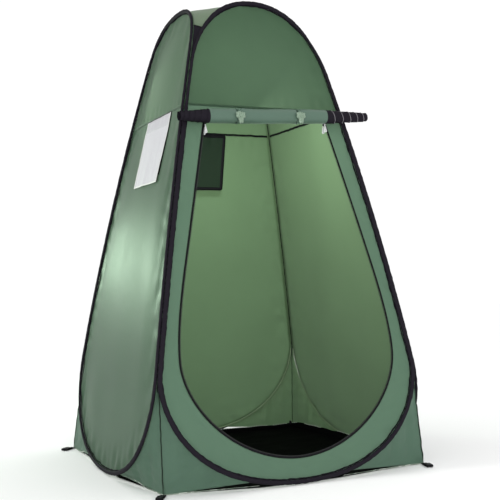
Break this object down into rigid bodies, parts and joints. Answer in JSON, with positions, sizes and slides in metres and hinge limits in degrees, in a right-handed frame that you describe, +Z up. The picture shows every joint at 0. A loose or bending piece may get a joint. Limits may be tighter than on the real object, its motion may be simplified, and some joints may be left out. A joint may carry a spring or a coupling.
{
  "type": "pop-up privacy shower tent",
  "caption": "Pop-up privacy shower tent: spring hoops in sleeves, four leaning walls, arched roof, zip door rolled up on ties, flap windows, floor and stake loops.",
  "frame": {"origin": "on the ground under the centre of the floor", "axes": "+Z up, the door faces -Y, +X to the right seen from the door"},
  "size_m": [1.2507, 1.2534, 1.8957],
  "materials": {
    "dark_green_fabric": "silver-backed polyester weave",
    "light_green_fabric": "polyester weave lit through from behind",
    "olive_fabric": "polyester weave",
    "black_fabric": "matt polyester binding",
    "black_webbing": "woven webbing",
    "floor_fabric": "coated ground sheet",
    "window_mesh": "fine net",
    "pale_fabric": "light lining cloth",
    "spring_steel": "oiled spring wire",
    "zip_metal": "black enamel",
    "zip_teeth": "moulded teeth",
    "white_plastic": "moulded"
  },
  "bodies": {
    "tent": {"front_hoop": "spring_steel", "front_sleeve": "black_fabric", "front_upper_panel": "dark_green_fabric", "front_seam_tape": "black_webbing", "right_hoop": "spring_steel", "right_sleeve": "black_fabric", "right_upper_panel": "dark_green_fabric", "right_seam_tape": "black_webbing", "back_hoop": "spring_steel", "back_sleeve": "black_fabric", "back_upper_panel": "dark_green_fabric", "back_seam_tape": "black_webbing", "left_hoop": "spring_steel", "left_sleeve": "black_fabric", "left_upper_panel": "dark_green_fabric", "left_seam_tape": "black_webbing", "right_lower_panel": "light_green_fabric", "back_lower_panel": "light_green_fabric", "left_lower_panel": "light_green_fabric", "hoop_ferrules": "spring_steel", "door_surround": "light_green_fabric", "roof_panel": "olive_fabric", "floor_sheet": "floor_fabric", "left_window_mesh": "window_mesh", "back_window_mesh": "window_mesh", "left_window_binding": "black_webbing", "back_window_binding": "black_webbing", "corner_tapes": "black_webbing", "zip_tape": "black_webbing", "zip_chain": "zip_teeth", "door_roll": "light_green_fabric", "door_roll_end_left": "black_fabric", "door_roll_end_right": "black_fabric", "door_tie_left": "dark_green_fabric", "door_tie_right": "dark_green_fabric", "corner_patch_front_left": "black_fabric", "ground_gusset_front_left": "dark_green_fabric", "corner_patch_front_right": "black_fabric", "ground_gusset_front_right": "dark_green_fabric", "corner_patch_back_right": "black_fabric", "ground_gusset_back_right": "dark_green_fabric", "corner_patch_back_left": "black_fabric", "ground_gusset_back_left": "dark_green_fabric"},
    "back_window_flap": {"back_window_flap": "pale_fabric"},
    "inner_pull_left": {"inner_pull_left": "white_plastic"},
    "inner_pull_right": {"inner_pull_right": "white_plastic"},
    "left_window_flap": {"left_window_flap": "pale_fabric"},
    "stake_loop_back_left": {"stake_loop_back_left": "black_webbing"},
    "stake_loop_back_right": {"stake_loop_back_right": "black_webbing"},
    "stake_loop_front_left": {"stake_loop_front_left": "black_webbing"},
    "stake_loop_front_right": {"stake_loop_front_right": "black_webbing"},
    "toggle_left": {"toggle_left": "white_plastic"},
    "toggle_right": {"toggle_right": "white_plastic"},
    "zip_pull_left": {"zip_pull_left": "white_plastic"},
    "zip_pull_right": {"zip_pull_right": "white_plastic"},
    "zip_slider_left": {"zip_slider_left": "zip_metal"},
    "zip_slider_right": {"zip_slider_right": "zip_metal"}
  },
  "joints": [
    {"name": "zip_slide_left", "type": "slide", "parent": "tent", "child": "zip_slider_left", "axis": [-0.2197, -0.1975, -0.9554], "range_m": [0, 0.3873]},
    {"name": "zip_pull_left_swing", "type": "hinge", "parent": "zip_slider_left", "child": "zip_pull_left", "pos_m": [-0.26566, -0.36426, 1.35566], "axis": [-1, 0, 0], "range_deg": [0, 60]},
    {"name": "inner_pull_left_swing", "type": "hinge", "parent": "zip_slider_left", "child": "inner_pull_left", "pos_m": [-0.26566, -0.35039, 1.35265], "axis": [1, 0, 0], "range_deg": [-5, 60]},
    {"name": "zip_slide_right", "type": "slide", "parent": "tent", "child": "zip_slider_right", "axis": [0.2197, -0.199, -0.9551], "range_m": [0, 0.3874]},
    {"name": "zip_pull_right_swing", "type": "hinge", "parent": "zip_slider_right", "child": "zip_pull_right", "pos_m": [0.25968, -0.35855, 1.38168], "axis": [-1, 0, 0], "range_deg": [0, 60]},
    {"name": "inner_pull_right_swing", "type": "hinge", "parent": "zip_slider_right", "child": "inner_pull_right", "pos_m": [0.25968, -0.34468, 1.37864], "axis": [1, 0, 0], "range_deg": [-5, 60]},
    {"name": "left_window_flap_lift", "type": "hinge", "parent": "tent", "child": "left_window_flap", "pos_m": [-0.34276, -0.042, 1.43], "axis": [0, 1, 0], "range_deg": [0, 110]},
    {"name": "back_window_flap_lift", "type": "hinge", "parent": "tent", "child": "back_window_flap", "pos_m": [-0.042, 0.34276, 1.43], "axis": [1, 0, 0], "range_deg": [0, 110]},
    {"name": "toggle_left_turn", "type": "hinge", "parent": "tent", "child": "toggle_left", "pos_m": [-0.1415, -0.42372, 1.38106], "axis": [0, -1, 0], "range_deg": [-90, 90]},
    {"name": "toggle_right_turn", "type": "hinge", "parent": "tent", "child": "toggle_right", "pos_m": [0.11827, -0.42372, 1.39195], "axis": [0, -1, 0], "range_deg": [-90, 90]},
    {"name": "stake_loop_front_left_lift", "type": "hinge", "parent": "tent", "child": "stake_loop_front_left", "pos_m": [-0.5155, -0.5146, 0.0017], "axis": [-0.866, 0.5, 0], "range_deg": [0, 60]},
    {"name": "stake_loop_front_right_lift", "type": "hinge", "parent": "tent", "child": "stake_loop_front_right", "pos_m": [0.58622, -0.5179, 0.0017], "axis": [-0.9659, 0.2588, 0], "range_deg": [0, 27]},
    {"name": "stake_loop_back_right_lift", "type": "hinge", "parent": "tent", "child": "stake_loop_back_right", "pos_m": [0.5455, 0.5766, 0.0017], "axis": [0.866, -0.5, 0], "range_deg": [0, 60]},
    {"name": "stake_loop_back_left_lift", "type": "hinge", "parent": "tent", "child": "stake_loop_back_left", "pos_m": [-0.58123, 0.57399, 0.0017], "axis": [-0.6691, 0.7431, 0], "range_deg": [0, 27]}
  ]
}
